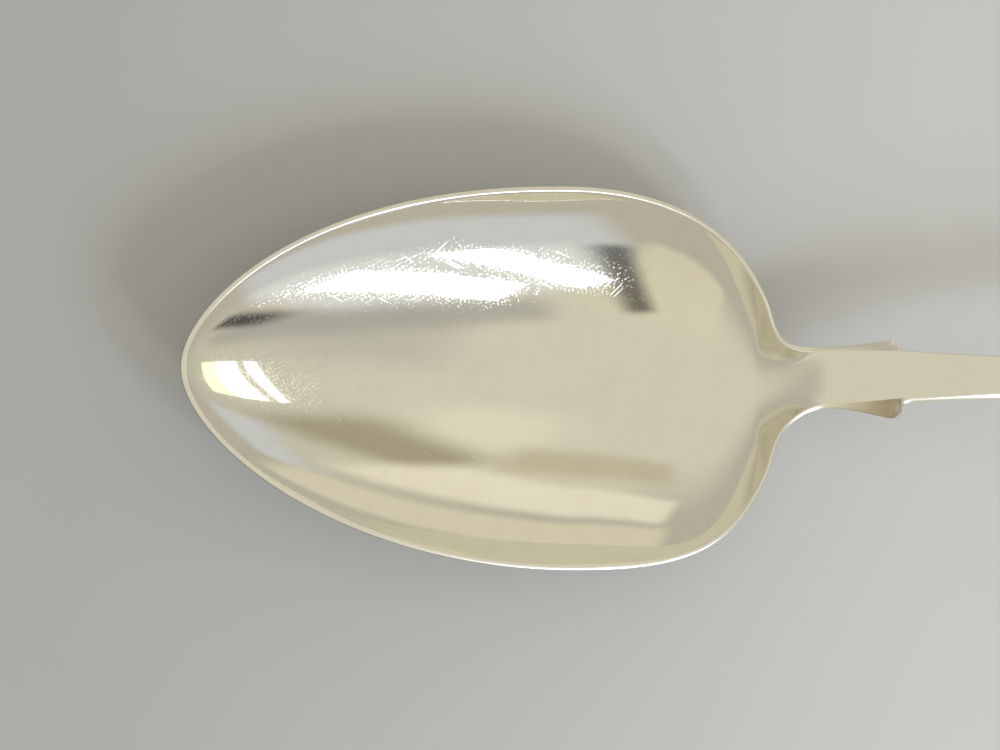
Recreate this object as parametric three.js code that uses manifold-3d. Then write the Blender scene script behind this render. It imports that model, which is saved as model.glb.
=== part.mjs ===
// A silver tablespoon of the fiddle pattern, lying bowl up with the end of its handle turned down.
// It is built up as a silversmith solders one: a raised bowl, a forged stem that meets it at the
// neck, and a drop, the tongue that laps under both and carries the joint.
// Lengths along the spoon are taken from the bowl's tip and grow towards the handle. The bowl's
// deepest place is the origin, z = 0 is the table, and +x runs towards the handle.
// Values named run say how far a curve keeps its direction before it bends.

import * as THREE from "three";
import { mergeVertices } from "three/addons/utils/BufferGeometryUtils.js";
import Module from "manifold-3d";

// Whole spoon, in millimetres and degrees
const overall_length = 220;
const neck_from_tip = 80;
const neck_width = 7.7;
const neck_height = 11.4;
const neck_slope = 25;
const solder_gap = 0.2;
const corner_roundness = 0.6;

// Bowl in plan: its nose, its widest place, its heel and the fillet into the neck
const bowl_width = 46.2;
const widest_from_tip = 47.7;
const nose_fullness = 8.1;
const nose_run = 30.4;
const cheek_run = 16;
const heel_from_tip = 72.2;
const heel_half_width = 10.85;
const heel_angle = 65;
const heel_run = 7.7;
const heel_fillet_run = 2.8;
const neck_fillet_run = 7.1;

// Years of use in one hand wear the nose to one side, and the heel was raised a little off line
const nose_worn_over = 0.35;
const bowl_off_line = 0.4;
const heel_off_line = 1.25;

// Bowl from the side
const bowl_depth = 10.4;
const bowl_wall = 1.2;
const deepest_from_tip = 48;
const tip_above_rim = 0.9;
const tip_rim_slope = 2;
const rim_run = 15;
const rim_neck_run = 6;
const tip_slope = 31;
const keel_tip_run = 4.5;
const keel_nose_run = 19;
const keel_heel_run = 25.5;
const keel_neck_run = 4;
const wall_fullness = 0.7;
const heel_fullness = 0.3;

// Rim
const rim_land = 0.55;
const rim_edge_height = 0.8;
const rim_bevel = 0.12;

// Places worn flat where the spoon rests
const rest_wear = 0.12;
const end_wear = 0.3;

// Stem from the side
const stem_thickness_at_neck = 3.8;
const stem_peak_from_tip = 140;
const stem_peak_height = 21;
const stem_rise_run = 8;
const stem_peak_run = 28;
const end_turn_down = 26;
const end_turn_run = 26;

// Stem in plan and in section
const waist_width = 6.46;
const waist_behind_shoulders = 1.2;
const waist_taper = 4;
const waist_run = 5;
const stem_narrowest_from_tip = 116;
const stem_narrowest_width = 4.9;
const narrowest_run = 12;
const stem_narrowest_thickness = 3.1;
const neck_bevel_depth = 0.35;
const neck_bevel_width = 0.7;
const waist_bevel_width = 0.45;
const stem_bevel_width = 0.8;
const stem_bevel_depth = 0.42;
const stem_crown = 0.12;
const neck_crown = 0.03;
const stem_back_edge = 1.8;
const back_squareness = 0.7;
const smallest_face_share = 0.6;
const bevel_roundness = 0.35;
const shoulder_hollow = 0.62;

// The face was filed a little to one side of the stem's middle line
const face_off_line = 0.32;

// Shoulders of the stem beside the neck: they flare, fall away from the face and stop square
const shoulder_width = 9.66;
const shoulder_length = 8;
const shoulder_neck_run = 2.4;
const shoulder_flare_run = 1.6;
const shoulder_angle = 8;
const shoulder_corner = 0.75;
const shoulder_fall = 1.1;
const shoulder_off_line = 0.24;

// Fiddle end of the handle
const fiddle_length = 58;
const fiddle_width = 22.6;
const fiddle_widest_from_end = 17;
const fiddle_flare_run = 12;
const fiddle_root_width = 9.4;
const fiddle_root_thickness = 2.1;
const fiddle_root_run = 14;
const fiddle_root_angle = 4;
const fiddle_shoulder_width = 15;
const fiddle_corner = 2.4;
const fiddle_edge_thickness = 1.8;
const fiddle_bevel_depth = 0.42;
const fiddle_back_edge = 1.05;

// Drop: the tongue under the heel, and its lap under the stem
const drop_length = 17.5;
const drop_width = 6.5;
const drop_round_length = 6;
const drop_rise = 0.75;
const drop_edge_thickness = 0.3;
const lap_length = 7;
const lap_depth = 2;

// How finely the curves are followed: stations along each curve of an outline, and points across
const bowl_stations = [22, 12, 10];
const stem_stations = [7, 4, 6, 9, 13, 5, 4, 9, 12];
const drop_stations = [8, 8, 8];
const bowl_columns = 24;
const drop_columns = 10;
const back_steps = 5;
const search_steps = 40;
const merge_distance = 1e-4;

// Places that are measured from the neck
const shoulder_from_tip = neck_from_tip + shoulder_length;
const waist_from_tip = shoulder_from_tip + waist_behind_shoulders;
const lap_from_tip = neck_from_tip + lap_length;
const drop_from_tip = neck_from_tip - drop_length;

const degrees = Math.PI / 180;
const wasm = await Module();
wasm.setup();

function bezier(...corners) {
  const points = corners.map(([x, y]) => new THREE.Vector2(x, y));
  return new THREE.CubicBezierCurve(...points);
}

// A point that lies a distance from another one, in a direction given in degrees
const away = ([x, y], distance, angle) => [
  x + distance * Math.cos(angle * degrees),
  y + distance * Math.sin(angle * degrees),
];

// The second coordinate of a chain of curves at a place along the spoon
function valueAt(chain, along) {
  const curve = chain.find((piece) => along <= piece.v3.x) ?? chain.at(-1);
  let low = 0;
  let high = 1;
  for (let step = 0; step < search_steps; step += 1) {
    const middle = (low + high) / 2;
    if (curve.getPoint(middle).x < along) {
      low = middle;
    } else {
      high = middle;
    }
  }
  return curve.getPoint((low + high) / 2).y;
}

// A size that eases from one stop to the next along the spoon; a stop is a place and a size
function eased(stops, along) {
  const next = stops.findIndex(([place]) => along < place);
  if (next < 0) {
    return stops.at(-1)[1];
  }
  if (next === 0) {
    return stops[0][1];
  }
  const [from, start] = stops[next - 1];
  const [to, end] = stops[next];
  return THREE.MathUtils.lerp(start, end, THREE.MathUtils.smoothstep(along, from, to));
}

// Stations of an outline: places spaced evenly along each of its curves, with the way each faces inward
function stations(chain, counts) {
  const found = [];
  chain.forEach((curve, index) => {
    const count = counts[index];
    for (let step = index === 0 ? 0 : 1; step <= count; step += 1) {
      const point = curve.getPointAt(step / count);
      const tangent = curve.getTangentAt(step / count);
      found.push({ along: point.x, half: point.y, inward: new THREE.Vector2(tangent.y, -tangent.x) });
    }
  });
  return found;
}

// Plan outline of the bowl, one side of its middle line, from the tip to the neck
const neck_half = neck_width / 2;
const bowl_half = bowl_width / 2;
const heel_point = [heel_from_tip, heel_half_width];
const bowl_outline = [
  bezier(
    [0, 0],
    [0, nose_fullness],
    [widest_from_tip - nose_run, bowl_half],
    [widest_from_tip, bowl_half],
  ),
  bezier(
    [widest_from_tip, bowl_half],
    [widest_from_tip + cheek_run, bowl_half],
    away(heel_point, -heel_run, -heel_angle),
    heel_point,
  ),
  bezier(
    heel_point,
    away(heel_point, heel_fillet_run, -heel_angle),
    [neck_from_tip - neck_fillet_run, neck_half],
    [neck_from_tip, neck_half],
  ),
];

// How far the bowl's middle line lies to the side of the stem's
const bowl_middle = [
  [0, nose_worn_over],
  [widest_from_tip, -bowl_off_line],
  [heel_from_tip, -heel_off_line],
  [neck_from_tip, 0],
];

// The bowl stands on a place worn flat, so its depth and its wall give the height of the rim
const bottom_inside = bowl_wall - rest_wear;
const rim_height = bottom_inside + bowl_depth;
const tip_height = rim_height + tip_above_rim;

// Rim line from the side: it dips towards the heel and then climbs into the stem
const neck_point = [neck_from_tip, neck_height];
const rim_line = [
  bezier(
    [0, tip_height],
    away([0, tip_height], rim_run, -tip_rim_slope),
    [widest_from_tip - rim_run, rim_height],
    [widest_from_tip, rim_height],
  ),
  bezier(
    [widest_from_tip, rim_height],
    [widest_from_tip + rim_run, rim_height],
    away(neck_point, -rim_neck_run, neck_slope),
    neck_point,
  ),
];

// Keel line from the side, for the inside or the outside of the bowl
function keelLine(tip, bottom, neck) {
  return [
    bezier(
      tip,
      away(tip, keel_tip_run, -tip_slope),
      [deepest_from_tip - keel_nose_run, bottom],
      [deepest_from_tip, bottom],
    ),
    bezier(
      [deepest_from_tip, bottom],
      [deepest_from_tip + keel_heel_run, bottom],
      away([neck_from_tip, neck], -keel_neck_run, neck_slope),
      [neck_from_tip, neck],
    ),
  ];
}

const inside_tip = [rim_land, valueAt(rim_line, rim_land)];
const outside_tip = [0, tip_height - rim_edge_height];
const keel_inside = keelLine(inside_tip, bottom_inside, neck_height);
const keel_outside = keelLine(outside_tip, bottom_inside - bowl_wall, neck_height - lap_depth);

// The wall's edge grows from the thin rim to the full depth of the lap at the neck
const rim_edge_stops = [
  [heel_from_tip, rim_edge_height],
  [neck_from_tip, lap_depth],
];
const rim_bevel_stops = [
  [heel_from_tip, rim_bevel],
  [neck_from_tip, neck_bevel_depth],
];

// Fullness is the share of a plain parabola in the cross section. The bottom is flatter at the heel.
const fullness_stops = [
  [widest_from_tip, wall_fullness],
  [heel_from_tip, heel_fullness],
];

// The bowl's cross section: 0 on the keel and 1 at the rim, steeper than a parabola near the rim
function hollow(along, across) {
  const fullness = eased(fullness_stops, along);
  return fullness * across ** 2 + (1 - fullness) * across ** 4;
}

// Height of the bowl's back at a place in plan
function backHeight(along, side) {
  const keel = valueAt(keel_outside, along);
  const edge = valueAt(rim_line, along) - eased(rim_edge_stops, along);
  const across = (side - eased(bowl_middle, along)) / valueAt(bowl_outline, along);
  return keel + (edge - keel) * hollow(along, across);
}

// Evenly spaced places across a piece, from -1 at one edge to 1 at the other
function sharesAcross(columns) {
  return Array.from({ length: columns + 1 }, (_, column) => (2 * column) / columns - 1);
}

// A closed solid through loops that all have the same number of points. An end whose loop is drawn
// together to a line closes by itself, and any other end is flat and gets a cap.
function loft(loops, capped) {
  const size = loops[0].length;
  const corners = [];
  const quad = (row, column) => loops[row][(column + size) % size];
  for (let row = 0; row + 1 < loops.length; row += 1) {
    for (let column = 0; column < size; column += 1) {
      const [a, b] = [quad(row, column), quad(row, column + 1)];
      const [c, d] = [quad(row + 1, column + 1), quad(row + 1, column)];
      corners.push(a, b, c, a, c, d);
    }
  }
  for (const end of capped) {
    const loop = end === "start" ? [...loops[0]].reverse() : loops.at(-1);
    const middle = loop.reduce((sum, point) => sum.add(point), new THREE.Vector3()).divideScalar(size);
    loop.forEach((point, column) => corners.push(middle, point, loop[(column + 1) % size]));
  }
  return closed(corners);
}

// Joins the corners of triangles to one mesh, without triangles that have no width, facing outward
function closed(corners) {
  const soup = new THREE.BufferGeometry().setFromPoints(corners);
  const merged = mergeVertices(soup, merge_distance);
  const index = merged.index.array;
  const kept = [];
  for (let start = 0; start < index.length; start += 3) {
    const [a, b, c] = index.slice(start, start + 3);
    if (a !== b && b !== c && c !== a) {
      kept.push(a, b, c);
    }
  }
  const solid = new THREE.BufferGeometry();
  solid.setAttribute("position", merged.getAttribute("position"));
  solid.setIndex(signedVolume(merged.getAttribute("position"), kept) > 0 ? kept : kept.reverse());
  return solid;
}

function signedVolume(position, index) {
  const [a, b, c] = [new THREE.Vector3(), new THREE.Vector3(), new THREE.Vector3()];
  let volume = 0;
  for (let start = 0; start < index.length; start += 3) {
    a.fromBufferAttribute(position, index[start]);
    b.fromBufferAttribute(position, index[start + 1]);
    c.fromBufferAttribute(position, index[start + 2]);
    volume += a.dot(b.cross(c)) / 6;
  }
  return volume;
}

// One solid cut by others
function cut(geometry, ...tools) {
  const solids = [geometry, ...tools].map((shape) => {
    const copy = new THREE.BufferGeometry().copy(shape);
    const bare = mergeVertices(copy.deleteAttribute("normal").deleteAttribute("uv"));
    return new wasm.Manifold(
      new wasm.Mesh({
        numProp: 3,
        vertProperties: new Float32Array(bare.getAttribute("position").array),
        triVerts: new Uint32Array(bare.index.array),
      }),
    );
  });
  const mesh = solids.slice(1).reduce((left, tool) => left.subtract(tool), solids[0]).getMesh();
  const result = new THREE.BufferGeometry();
  result.setAttribute("position", new THREE.BufferAttribute(mesh.vertProperties, 3));
  result.setIndex(new THREE.BufferAttribute(mesh.triVerts, 1));
  return result;
}

// Everything below the table, which wear takes off the places where the spoon rests
function belowTable() {
  const depth = 5;
  const slab = new THREE.BoxGeometry(overall_length * 2, bowl_width * 2, depth);
  return slab.translate(0, 0, -depth / 2);
}

// Bowl: a shell between two hollows, with a flat land on its rim
function bowlGeometry() {
  const across = sharesAcross(bowl_columns);
  const loops = stations(bowl_outline, bowl_stations).map(({ along, half, inward }) => {
    const middle = eased(bowl_middle, along);
    const inner_along = along + rim_land * inward.x;
    const inner_half = Math.max(half + rim_land * inward.y, 0);
    const inner_keel = valueAt(keel_inside, inner_along);
    const inner_rim = valueAt(rim_line, inner_along);
    const inside = across.map((share) => new THREE.Vector3(
      inner_along,
      middle + inner_half * share,
      inner_keel + (inner_rim - inner_keel) * hollow(inner_along, share),
    ));
    const outside = across.map((share) => new THREE.Vector3(
      along,
      middle + half * share,
      backHeight(along, middle + half * share),
    ));
    const rim_top = valueAt(rim_line, along) - eased(rim_bevel_stops, along);
    const right_edge = new THREE.Vector3(along, middle + half, rim_top);
    const left_edge = new THREE.Vector3(along, middle - half, rim_top);
    return [...inside, right_edge, ...outside.reverse(), left_edge];
  });
  return cut(loft(loops, ["end"]), belowTable());
}

// Face of the stem from the side: up from the neck, over its peak, and down to the turned end
const end_height = fiddle_edge_thickness - end_wear;
const end_point = [overall_length, end_height];
const stem_face = [
  bezier(
    neck_point,
    away(neck_point, stem_rise_run, neck_slope),
    [stem_peak_from_tip - stem_peak_run, stem_peak_height],
    [stem_peak_from_tip, stem_peak_height],
  ),
  bezier(
    [stem_peak_from_tip, stem_peak_height],
    [stem_peak_from_tip + stem_peak_run, stem_peak_height],
    away(end_point, -end_turn_run, -end_turn_down),
    end_point,
  ),
];

// Body of the stem in plan, one side of its middle line, and the fiddle end
const fiddle_from_tip = overall_length - fiddle_length;
const waist_half = waist_width / 2;
const narrowest_half = stem_narrowest_width / 2;
const root_half = fiddle_root_width / 2;
const fiddle_shoulder_half = fiddle_shoulder_width / 2;
const fiddle_half = fiddle_width / 2;
const fiddle_widest_from_tip = overall_length - fiddle_widest_from_end;
const neck_point_in_plan = [neck_from_tip, neck_half];
const waist_point = [waist_from_tip, waist_half];
const narrowest_point = [stem_narrowest_from_tip, narrowest_half];
const root_point = [fiddle_from_tip, root_half];
const fiddle_shoulder_from_tip = fiddle_from_tip + fiddle_corner;
const fiddle_corner_point = [fiddle_shoulder_from_tip, fiddle_shoulder_half - fiddle_corner / 2];
const fiddle_side_point = [fiddle_shoulder_from_tip + fiddle_corner, fiddle_shoulder_half];
const fiddle_widest_point = [fiddle_widest_from_tip, fiddle_half];

// A curve that leaves one point and reaches another level with the spoon, each for its run
function level(from, run_from, run_to, to) {
  return bezier(from, away(from, run_from, 0), away(to, -run_to, 0), to);
}

// A curve that leaves one point level and reaches another square to the spoon
function roundIn(from, to) {
  const reach = Math.abs(to[0] - from[0]) * corner_roundness;
  const drop = (to[1] - from[1]) * corner_roundness;
  return bezier(from, [from[0] + reach, from[1]], [to[0], to[1] - drop], to);
}

// A curve that leaves one point square to the spoon and reaches another level
function roundOut(from, to) {
  const reach = Math.abs(to[0] - from[0]) * corner_roundness;
  const rise = (to[1] - from[1]) * corner_roundness;
  return bezier(from, [from[0], from[1] + rise], [to[0] - reach, to[1]], to);
}

const neck_to_waist = waist_from_tip - neck_from_tip;
const narrowest_to_root = fiddle_from_tip - stem_narrowest_from_tip;
const neck_body = bezier(
  neck_point_in_plan,
  away(neck_point_in_plan, neck_to_waist / 3, 0),
  away(waist_point, -neck_to_waist / 3, -waist_taper),
  waist_point,
);
const handle = [
  bezier(
    waist_point,
    away(waist_point, waist_run, -waist_taper),
    away(narrowest_point, -narrowest_run, 0),
    narrowest_point,
  ),
  bezier(
    narrowest_point,
    away(narrowest_point, narrowest_to_root / 2, 0),
    away(root_point, -fiddle_root_run, fiddle_root_angle),
    root_point,
  ),
  roundIn(root_point, fiddle_corner_point),
  roundOut(fiddle_corner_point, fiddle_side_point),
  level(fiddle_side_point, fiddle_flare_run, fiddle_flare_run, fiddle_widest_point),
  roundIn(fiddle_widest_point, [overall_length, 0]),
];
const body_outline = [neck_body, ...handle];

// Outline of the shoulders: they flare from the neck and stop square, with rounded corners
const shoulder_half = shoulder_width / 2;
const shoulder_edge_point = [shoulder_from_tip - shoulder_corner, shoulder_half];
const shoulder_corner_point = [shoulder_from_tip, shoulder_half - shoulder_corner];
const stem_outline = [
  bezier(
    neck_point_in_plan,
    away(neck_point_in_plan, shoulder_neck_run, 0),
    away(shoulder_edge_point, -shoulder_flare_run, shoulder_angle),
    shoulder_edge_point,
  ),
  roundIn(shoulder_edge_point, shoulder_corner_point),
  roundOut(shoulder_corner_point, waist_point),
  ...handle,
];

const thickness_stops = [
  [neck_from_tip, stem_thickness_at_neck],
  [stem_narrowest_from_tip, stem_narrowest_thickness],
  [fiddle_from_tip, fiddle_root_thickness],
  [overall_length, fiddle_edge_thickness],
];
const bevel_stops = [
  [neck_from_tip, neck_bevel_depth],
  [waist_from_tip, stem_bevel_depth],
  [stem_narrowest_from_tip, stem_bevel_depth],
  [fiddle_from_tip, fiddle_bevel_depth],
];
const bevel_width_stops = [
  [neck_from_tip, neck_bevel_width],
  [waist_from_tip, waist_bevel_width],
  [stem_narrowest_from_tip, stem_bevel_width],
];
const face_line_stops = [
  [neck_from_tip, 0],
  [waist_from_tip, face_off_line],
  [fiddle_from_tip, 0],
];
const crown_stops = [
  [neck_from_tip, neck_crown],
  [waist_from_tip, stem_crown],
];
const back_edge_stops = [
  [neck_from_tip, lap_depth],
  [lap_from_tip, lap_depth],
  [stem_narrowest_from_tip, stem_back_edge],
  [overall_length, fiddle_back_edge],
];

// Rounded back of a bar, from its edge round to the other edge, as pairs of side and depth shares.
// An exponent of 1 is an ellipse, and a smaller one is squarer.
const back_arc = Array.from({ length: 2 * back_steps + 1 }, (_, step) => {
  const angle = (Math.PI * step) / (2 * back_steps);
  const side = Math.abs(Math.cos(angle)) ** back_squareness;
  return [Math.sign(Math.cos(angle)) * side, Math.sin(angle) ** back_squareness];
});

// Cross section of the stem: a crowned face, a bevel or shoulder on each side, and a rounded back,
// which is flat where the drop laps under it. The third number of a point in the section says how
// much of the face's shift to one side it takes; the edges take the shoulders' shift instead.
function stemLoop({ along, half }, lapped) {
  const face = valueAt(stem_face, along);
  const body_half = Math.min(valueAt(body_outline, along), half);
  const bevel_width = eased(bevel_width_stops, along);
  const face_half = Math.max(body_half - bevel_width, body_half * smallest_face_share);
  const crown = eased(crown_stops, along);
  const flare = THREE.MathUtils.clamp((half - body_half) / (shoulder_half - waist_half), 0, 1);
  const bevel = THREE.MathUtils.lerp(eased(bevel_stops, along), shoulder_fall, flare);
  const back_edge = eased(back_edge_stops, along);
  const bottom = lapped ? back_edge : eased(thickness_stops, along);
  const bevel_middle = bevel * THREE.MathUtils.lerp(bevel_roundness, shoulder_hollow, flare);
  const face_shift = eased(face_line_stops, along) * Math.min(half / waist_half, 1);
  const edge_shift = -shoulder_off_line * flare;
  const right = [
    [face_half / 2, crown * (1 - 0.5 ** 2), 1],
    [face_half, 0, 1],
    [(face_half + half) / 2, -bevel_middle, 0.5],
    [half, -bevel, 0],
    [half, -back_edge, 0],
  ];
  const back = back_arc.map(([side, depth]) => [
    side * body_half,
    -THREE.MathUtils.lerp(back_edge, bottom, depth),
    0,
  ]);
  const left = right.map(([side, height, hold]) => [-side, height, hold]).reverse();
  const section = [[0, crown, 1], ...right, ...back, ...left];
  return section.map(([side, height, hold]) => {
    const shift = THREE.MathUtils.lerp(edge_shift, face_shift, hold);
    return new THREE.Vector3(along, side + shift, face + height);
  });
}

// Stem: a forged bar from the neck to the fiddle end
function stemGeometry() {
  const start = neck_from_tip + solder_gap;
  const rows = stations(stem_outline, stem_stations);
  rows[0] = { along: start, half: valueAt(body_outline, start) };
  const lap_end = { along: lap_from_tip, half: valueAt(stem_outline, lap_from_tip) };
  const lapped = [...rows.filter(({ along }) => along < lap_from_tip), lap_end];
  const free = [lap_end, ...rows.filter(({ along }) => along > lap_from_tip)];
  const loops = [...lapped.map((row) => stemLoop(row, true)), ...free.map((row) => stemLoop(row, false))];
  return cut(loft(loops, ["start"]), belowTable());
}

// Drop: its top follows the bowl's back and the stem's lap, a solder gap below them
const drop_half = drop_width / 2;
const drop_side_point = [drop_from_tip + drop_round_length, drop_half];
const drop_outline = [
  roundOut([drop_from_tip, 0], drop_side_point),
  level(drop_side_point, drop_round_length / 2, drop_round_length / 2, neck_point_in_plan),
  neck_body,
];

const drop_rise_stops = [
  [drop_from_tip, drop_rise],
  [neck_from_tip, stem_thickness_at_neck - lap_depth - solder_gap],
];
const drop_edge_stops = [
  [drop_from_tip, drop_edge_thickness],
  [neck_from_tip, 0],
];

// Height that the drop's top has at a place in plan
function dropSeat(along, side) {
  if (along < neck_from_tip) {
    return backHeight(along, side) - solder_gap;
  }
  return valueAt(stem_face, along) - lap_depth - solder_gap;
}

// Height of the drop's lowest line, which runs on into the stem's back
function dropBottom(along) {
  if (along < neck_from_tip) {
    return valueAt(keel_outside, along) - solder_gap - eased(drop_rise_stops, along);
  }
  return valueAt(stem_face, along) - eased(thickness_stops, along);
}

function dropLoop(along, half) {
  const top = sharesAcross(drop_columns).map((share) => {
    const side = share * half;
    return new THREE.Vector3(along, side, dropSeat(along, side));
  });
  const bottom = dropBottom(along);
  const back = back_arc.map(([share, depth]) => {
    const side = share * half;
    const edge = dropSeat(along, side) - eased(drop_edge_stops, along);
    return new THREE.Vector3(along, side, THREE.MathUtils.lerp(edge, bottom, depth));
  });
  return [...top, ...back];
}

function dropGeometry() {
  const lap_end = lap_from_tip - solder_gap;
  const loops = stations(drop_outline, drop_stations)
    .filter(({ along }) => along < lap_end)
    .map(({ along, half }) => dropLoop(along, half));
  loops.push(dropLoop(lap_end, valueAt(body_outline, lap_end)));
  return cut(loft(loops, ["end"]), belowTable());
}

const silver = (color, roughness) => new THREE.MeshStandardMaterial({ color, roughness, metalness: 1 });

function piece(name, geometry, material) {
  geometry.computeVertexNormals();
  const mesh = new THREE.Mesh(geometry, material);
  mesh.name = name;
  return mesh;
}

const spoon = new THREE.Group();
spoon.add(piece("bowl", bowlGeometry(), silver(0xd8d2c0, 0.16)));
spoon.add(piece("stem", stemGeometry(), silver(0xd6d0bf, 0.2)));
spoon.add(piece("drop", dropGeometry(), silver(0xcfc9b8, 0.24)));
spoon.position.x = -deepest_from_tip;

const model = new THREE.Group();
model.add(spoon);
model.updateMatrixWorld(true);

export default model;
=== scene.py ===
# A silver tablespoon of the fiddle pattern, dressed round its packed frame.
# Lengths are in metres. Places along the spoon are counted from the bowl's tip towards the handle.

import math

import bmesh
import bpy
import numpy as np
from mathutils import Matrix, Vector


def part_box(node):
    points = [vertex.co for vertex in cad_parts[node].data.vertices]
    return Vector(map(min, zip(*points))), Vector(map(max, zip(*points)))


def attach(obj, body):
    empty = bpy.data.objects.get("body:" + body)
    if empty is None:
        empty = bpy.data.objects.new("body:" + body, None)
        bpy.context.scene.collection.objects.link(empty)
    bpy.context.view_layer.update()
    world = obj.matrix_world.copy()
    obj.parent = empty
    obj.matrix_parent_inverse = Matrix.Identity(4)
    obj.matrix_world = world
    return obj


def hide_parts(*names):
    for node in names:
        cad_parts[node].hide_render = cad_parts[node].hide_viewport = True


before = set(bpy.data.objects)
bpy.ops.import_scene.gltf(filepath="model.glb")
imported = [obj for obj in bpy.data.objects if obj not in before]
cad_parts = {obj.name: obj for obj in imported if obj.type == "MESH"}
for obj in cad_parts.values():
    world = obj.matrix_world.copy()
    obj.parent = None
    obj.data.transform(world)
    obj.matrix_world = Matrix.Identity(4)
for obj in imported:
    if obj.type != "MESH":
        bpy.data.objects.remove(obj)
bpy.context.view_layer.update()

bl_info = {
    "name": "Silver Tablespoon",
    "version": (1, 0, 0),
    "blender": (4, 5, 0),
    "location": "View3D > Sidebar > Spoon",
    "description": "Builds a fiddle-pattern silver tablespoon on its frame",
    "category": "Add Mesh",
}

BODY = "root"
BOWL_LOW, BOWL_HIGH = (Vector(corner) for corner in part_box("bowl"))
STEM_LOW, STEM_HIGH = (Vector(corner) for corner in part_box("stem"))
DROP_LOW = Vector(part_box("drop")[0])
TIP_X = BOWL_LOW.x

CORNER_STEPS = 5
TINY = 1e-7
WELD = 2e-6
SHARP_ANGLE = math.radians(38)
# What the mesh carries besides its places: how worn an edge is, and how much painted dark reflection darkens
# the silver there
WEAR_AND_REFLECTION_LAYERS = ("edge", "painted_dark_reflection")

# Planished surface: each wave's turns along and across in radians a metre, its phase and its share
PLANISH_HEIGHT = 1.1e-5
PLANISH_WAVES = (
    (210.0, 130.0, 0.4, 1.0),
    (-160.0, 260.0, 2.1, 0.8),
    (420.0, -310.0, 4.0, 0.45),
    (90.0, 520.0, 1.3, 0.4),
)

# Scratches: length, width and the share of cells that hold one, and the two ways that they run
FINE_SCRATCH = (0.00025, 0.00004, 0.35)
FINE_TURNS = (0.35, 2.1)
LONG_SCRATCH = (0.003, 0.00004, 0.05)
LONG_TURNS = (0.8, 2.75)
# A scratch's cell is this many times as long and as wide as the scratch
STROKE_ROOM = 2
SCRATCH_STRENGTH = 0.5
SCRATCH_DEPTH = 4e-6

# Pits: cells in a metre, how high a cell's random number has to be, and sizes as shares of a cell
PIT_SCALE = 330.0
PIT_CHOSEN = 0.86
PIT_SIZE = 0.045
PIT_LEAST = 0.0005
# A pit is this many times as deep as a scratch
PIT_DEPTH = 2.0
PIT_TARNISH = 0.6

# Use: along X it is fullest at WORN_FROM, by the tip, and has run out at WORN_TO
WORN_FROM = -0.05
WORN_TO = 0.02
TIP_WEAR = 0.7
# Slow patches, fine grain and clouds: scales, and the noise values between which they come in
PATCH_SCALE = 70.0
PATCH_RANGE = (0.40, 0.70)
GRAIN_SCALE = 5200.0
GRAIN_HAZE = 0.035
CLOUD_SCALE = 240.0
CLOUD_RANGE = (0.50, 0.85)
CLOUD_TARNISH = 0.10

# Numbers of the colour sockets on Blender's Mix node
MIX_SHARE, MIX_FIRST, MIX_SECOND, MIX_RESULT = 0, 6, 7, 2


# Properties

def length(name, description, default):
    return bpy.props.FloatProperty(
        name=name, description=description, default=default, unit="LENGTH", subtype="DISTANCE", precision=5
    )


def number(name, description, default):
    return bpy.props.FloatProperty(name=name, description=description, default=default, min=0.0, max=1.0)


def angle(name, description, degrees):
    return bpy.props.FloatProperty(
        name=name, description=description, default=math.radians(degrees), unit="ROTATION", subtype="ANGLE"
    )


def colour(name, description, default):
    return bpy.props.FloatVectorProperty(
        name=name, description=description, default=default, size=3, min=0.0, max=1.0, subtype="COLOR"
    )


class BowlSizes(bpy.types.PropertyGroup):
    """Sizes of the bowl"""

    width: length("Width", "Across the bowl at its widest place", BOWL_HIGH.y - BOWL_LOW.y)
    widest: length("Widest place", "From the tip to the widest place", 0.0477)
    nose_fullness: length("Nose fullness", "How round the nose is", 0.0081)
    nose_run: length("Nose run", "How far the side stays level towards the nose", 0.0304)
    cheek_run: length("Cheek run", "How far the side stays level towards the heel", 0.016)
    heel: length("Heel", "From the tip to the steepest place of the heel", 0.0722)
    heel_half: length("Heel half width", "Half the width at the steepest place of the heel", 0.01085)
    heel_angle: angle("Heel angle", "How steeply the outline runs in at the heel", 65)
    heel_run: length("Heel run", "How far the heel's corner keeps its direction", 0.0077)
    fillet_run: length("Fillet run", "Size of the fillet from the heel into the neck", 0.0028)
    neck_fillet_run: length("Neck fillet run", "Where the fillet runs out along the neck", 0.0071)
    nose_worn_over: length("Nose wear", "How far wear has moved the nose to one side", 0.00035)
    off_line: length("Off line", "How far the bowl lies beside the stem's middle line", 0.0004)
    heel_off_line: length("Heel off line", "The same, at the heel", 0.00125)
    depth: length("Depth", "From the rim to the bottom inside", 0.0104)
    wall: length("Wall", "Thickness at the bottom", 0.0012)
    rest_wear: length("Worn rest", "Silver worn off where the bowl rests", 0.00012)
    deepest: length("Deepest place", "From the tip to the deepest place", -TIP_X)
    tip_above_rim: length("Tip above rim", "How far the tip stands above the rim at its widest", 0.0009)
    tip_slope: angle("Tip slope", "How steeply the hollow starts at the tip", 31)
    keel_tip_run: length("Keel tip run", "How far the keel keeps the tip's slope", 0.0045)
    keel_nose_run: length("Keel nose run", "How far the keel stays level towards the nose", 0.019)
    keel_heel_run: length("Keel heel run", "How far the keel stays level towards the heel", 0.0255)
    keel_neck_run: length("Keel neck run", "How far the keel keeps the neck's slope", 0.004)
    fullness: number("Wall fullness", "Share of a plain parabola in the cross section", 0.7)
    heel_fullness: number("Heel fullness", "The same, at the heel", 0.62)
    rim_run: length("Rim run", "How far the rim stays level beside its widest place", 0.015)
    rim_neck_run: length("Rim neck run", "How far the rim keeps the neck's slope", 0.006)
    land: length("Rim land", "Width of the flat land on the rim", 0.00055)
    edge: length("Rim edge", "Height of the rim's outer edge", 0.0008)
    bevel: length("Rim bevel", "Fall of the land to its outer edge", 0.00012)


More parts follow.
